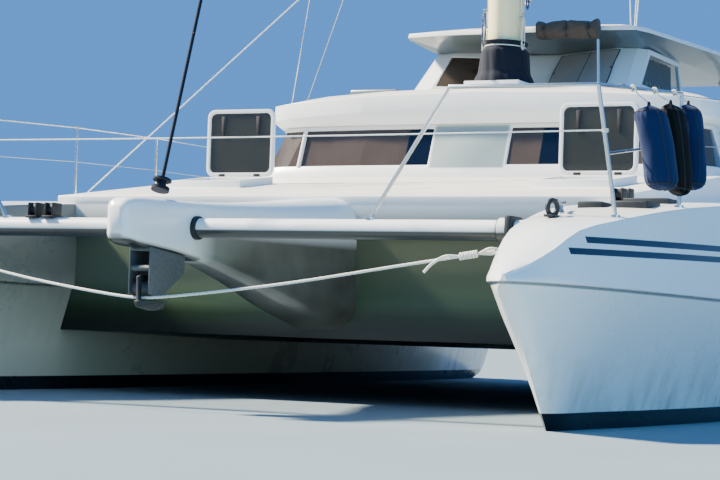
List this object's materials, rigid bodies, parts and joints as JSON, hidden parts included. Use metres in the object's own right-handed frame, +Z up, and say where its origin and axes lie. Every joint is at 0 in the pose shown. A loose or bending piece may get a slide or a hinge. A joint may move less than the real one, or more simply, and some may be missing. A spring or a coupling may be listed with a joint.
{
  "type": "sailing catamaran",
  "caption": "Cruising sailing catamaran afloat: two hulls, bridge deck with saloon and doghouse, mast, boom, rails, rudders, propellers and an anchor at the nacelle's nose.",
  "frame": {"origin": "on the waterline and the centreline, midway between the bow tips and the transoms", "axes": "+X forward, +Y to port, +Z up"},
  "size_m": [12.4, 6.884, 19.93],
  "materials": {
    "gelcoat_white": "glossy white gelcoat, slightly weathered",
    "antifouling_dark": "matt dark antifouling",
    "glass_dark": "dark tinted glazing",
    "acrylic_smoke": "smoked acrylic in a pale frame",
    "stainless": "polished stainless tube and wire",
    "spar_cream": "cream painted aluminium spar",
    "canvas_navy": "navy acrylic canvas",
    "canvas_taupe": "grey brown acrylic canvas",
    "rubber_black": "black covered fender",
    "vinyl_blue": "blue inflatable fender",
    "galvanised": "galvanised, dulled",
    "bronze": "bronze",
    "net_grey": "knotless netting"
  },
  "bodies": {
    "boat": {"hull_port": "gelcoat_white", "hull_starboard": "gelcoat_white", "keel_port": "antifouling_dark", "keel_starboard": "antifouling_dark", "bridge_deck": "gelcoat_white", "nacelle": "gelcoat_white", "crossbeam_port": "gelcoat_white", "crossbeam_starboard": "gelcoat_white", "bow_roller": "stainless", "anchor": "galvanised", "trampoline_port": "net_grey", "trampoline_starboard": "net_grey", "saloon_walls": "gelcoat_white", "saloon_glass_front_port": "glass_dark", "saloon_glass_front_starboard": "glass_dark", "saloon_glass_side_port": "glass_dark", "saloon_glass_side_starboard": "glass_dark", "saloon_roof": "gelcoat_white", "doghouse_frame": "gelcoat_white", "doghouse_glass_front_port": "glass_dark", "doghouse_glass_front_starboard": "glass_dark", "doghouse_glass_side_port": "glass_dark", "doghouse_glass_side_starboard": "glass_dark", "hard_top": "gelcoat_white", "mast": "spar_cream", "mast_boot": "canvas_navy", "cap_shroud_port": "stainless", "cap_shroud_starboard": "stainless", "pulpit_port": "stainless", "pulpit_starboard": "stainless", "guard_rail_port": "stainless", "guard_rail_starboard": "stainless", "fender_blue_forward": "vinyl_blue", "fender_black": "rubber_black", "fender_blue_aft": "vinyl_blue", "saildrive_port": "antifouling_dark", "saildrive_starboard": "antifouling_dark", "helm_console": "gelcoat_white"},
    "saloon_door_body": {"saloon_door": "glass_dark"},
    "boom_body": {"boom": "spar_cream", "sail_bag": "canvas_taupe"},
    "furler_body": {"furler_foil": "canvas_navy"},
    "rudder_port_body": {"rudder_port": "antifouling_dark"},
    "rudder_starboard_body": {"rudder_starboard": "antifouling_dark"},
    "wheel_body": {"steering_wheel": "stainless"},
    "propeller_port_body": {"propeller_port": "bronze"},
    "propeller_starboard_body": {"propeller_starboard": "bronze"},
    "hatch_port_body": {"hatch_lid_port": "acrylic_smoke"},
    "hatch_starboard_body": {"hatch_lid_starboard": "acrylic_smoke"}
  },
  "joints": [
    {"name": "boom_swing", "type": "hinge", "parent": "boat", "child": "boom_body", "pos_m": [-0.865, 0, 4.45], "axis": [0, 0, 1], "range_deg": [-60, 60]},
    {"name": "furler_turn", "type": "hinge", "parent": "boat", "child": "furler_body", "pos_m": [5.42, 0, 1.45], "axis": [-0.3146, 0, 0.9492], "continuous": true},
    {"name": "rudder_port_turn", "type": "hinge", "parent": "boat", "child": "rudder_port_body", "pos_m": [-5.15, 2.78, -0.3], "axis": [0, 0, 1], "range_deg": [-35, 35]},
    {"name": "rudder_starboard_turn", "type": "hinge", "parent": "boat", "child": "rudder_starboard_body", "pos_m": [-5.15, -2.78, -0.3], "axis": [0, 0, 1], "range_deg": [-35, 35]},
    {"name": "wheel_turn", "type": "hinge", "parent": "boat", "child": "wheel_body", "pos_m": [-2.42, -1.15, 1.85], "axis": [1, 0, 0], "range_deg": [-285, 285]},
    {"name": "propeller_port_spin", "type": "hinge", "parent": "boat", "child": "propeller_port_body", "pos_m": [-3.776, 2.78, -0.76], "axis": [1, 0, 0], "continuous": true},
    {"name": "propeller_starboard_spin", "type": "hinge", "parent": "boat", "child": "propeller_starboard_body", "pos_m": [-3.776, -2.78, -0.76], "axis": [1, 0, 0], "continuous": true},
    {"name": "hatch_port_hinge", "type": "hinge", "parent": "boat", "child": "hatch_port_body", "pos_m": [1.43, 1.65, 1.87052], "axis": [0, 1, 0], "range_deg": [-15, 95]},
    {"name": "hatch_starboard_hinge", "type": "hinge", "parent": "boat", "child": "hatch_starboard_body", "pos_m": [1.43, -1.65, 1.87052], "axis": [0, 1, 0], "range_deg": [-15, 95]},
    {"name": "saloon_door_slide", "type": "slide", "parent": "boat", "child": "saloon_door_body", "axis": [0, 1, 0], "range_m": [0, 0.66]}
  ],
  "couplings": [
    {"joint": "rudder_starboard_turn", "follows": "rudder_port_turn", "ratio": 1},
    {"joint": "wheel_turn", "follows": "rudder_port_turn", "ratio": 8}
  ]
}
